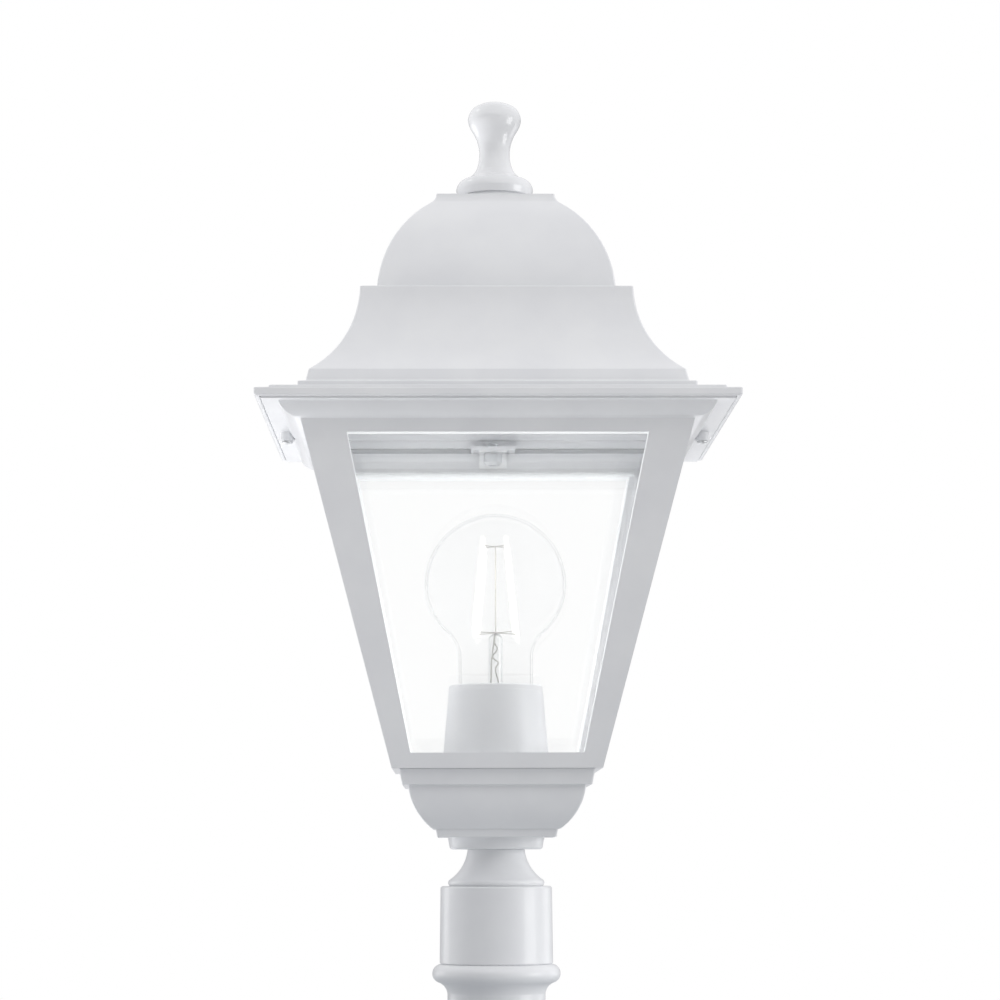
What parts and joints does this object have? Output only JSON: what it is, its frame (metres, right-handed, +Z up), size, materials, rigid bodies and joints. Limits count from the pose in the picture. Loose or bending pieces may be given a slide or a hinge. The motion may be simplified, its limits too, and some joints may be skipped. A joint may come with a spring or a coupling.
{
  "type": "post top lantern",
  "caption": "Square tapered post top lantern with clear panes, an ogee and dome roof, a turned finial, a cup below and a ring socket that drops over a post.",
  "frame": {"origin": "centre of the post socket's open mouth, at the very foot of the lantern", "axes": "+Z up along the post and the finial, -Y out of the front pane, +X to the right seen from the front"},
  "size_m": [0.1936, 0.1936, 0.4115],
  "materials": {
    "white_paint": "satin",
    "white_gloss_paint": "gloss",
    "white_strip": "satin",
    "white_screw_paint": "satin",
    "clear_glass": "polished",
    "bulb_glass": "polished",
    "stainless_steel": "satin",
    "zinc_steel": "satin",
    "white_nylon": "matte",
    "white_plastic": "satin",
    "porcelain": "gloss",
    "brass": "satin",
    "lead_sleeving": "matte",
    "seal_rubber": "matte",
    "nickel_cap": "satin",
    "black_glass": "gloss",
    "solder": "satin",
    "filament_phosphor": "matte",
    "nickel_wire": "satin"
  },
  "bodies": {
    "lantern": {"post_ring": "white_paint", "post_screws": "stainless_steel", "collar": "white_paint", "collar_screws": "stainless_steel", "threaded_tube": "zinc_steel", "tube_nuts": "zinc_steel", "tube_washer": "zinc_steel", "bowl": "white_paint", "terminal_block": "white_nylon", "terminal_screws": "zinc_steel", "lamp_leads": "lead_sleeving", "frame": "white_paint", "frame_screws": "stainless_steel", "roof_screws": "stainless_steel", "roof_seal": "seal_rubber", "glass_front": "clear_glass", "glass_right": "clear_glass", "glass_back": "clear_glass", "glass_left": "clear_glass", "pane_stops": "white_strip", "stop_screws": "white_screw_paint", "stop_washers": "white_screw_paint", "lampholder_base": "white_plastic", "lampholder_insert": "porcelain", "screw_shell": "brass", "centre_contact": "brass", "lampholder_sleeve": "white_plastic"},
    "roof": {"roof": "white_paint", "finial": "white_gloss_paint", "finial_stud": "zinc_steel", "finial_washer": "zinc_steel", "finial_nut": "zinc_steel"},
    "bulb_slide": {"bulb_contact": "solder"},
    "bulb": {"bulb_cap": "nickel_cap", "bulb_insulator": "black_glass", "bulb_glass": "bulb_glass", "bulb_stem": "bulb_glass", "bulb_filaments": "filament_phosphor", "bulb_wires": "nickel_wire"}
  },
  "joints": [
    {"name": "roof_lift", "type": "slide", "parent": "lantern", "child": "roof", "axis": [0, 0, 1], "range_m": [0, 0.08]},
    {"name": "bulb_rise", "type": "slide", "parent": "lantern", "child": "bulb_slide", "axis": [0, 0, 1], "range_m": [0, 0.0164]},
    {"name": "bulb_turn", "type": "hinge", "parent": "bulb_slide", "child": "bulb", "pos_m": [0, 0, 0.15], "axis": [0, 0, 1], "range_deg": [0, 1620]}
  ],
  "couplings": [
    {"joint": "bulb_rise", "follows": "bulb_turn", "m_per_rad": 0.00057757}
  ]
}
